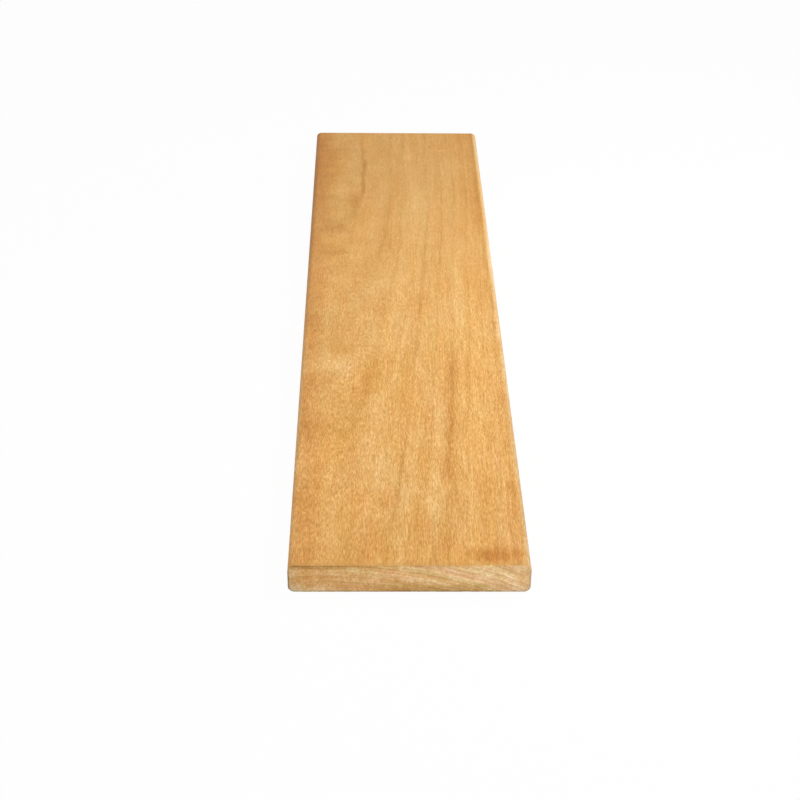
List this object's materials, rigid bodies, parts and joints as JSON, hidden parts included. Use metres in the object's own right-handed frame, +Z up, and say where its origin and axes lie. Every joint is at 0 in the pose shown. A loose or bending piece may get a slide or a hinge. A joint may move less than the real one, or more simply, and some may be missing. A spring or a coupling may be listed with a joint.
{
  "type": "hardwood board",
  "caption": "Planed hardwood board with eased long edges and square-sawn ends, for trim, shelving or decking.",
  "frame": {"origin": "middle of the underside, on the surface that the board lies on", "axes": "+Z up through the thickness, Y along the length and the grain, X across the width"},
  "size_m": [0.1396, 0.6096, 0.0191],
  "materials": {
    "planed_hardwood": "satin"
  },
  "bodies": {
    "root": {"board": "planed_hardwood"}
  },
  "joints": []
}
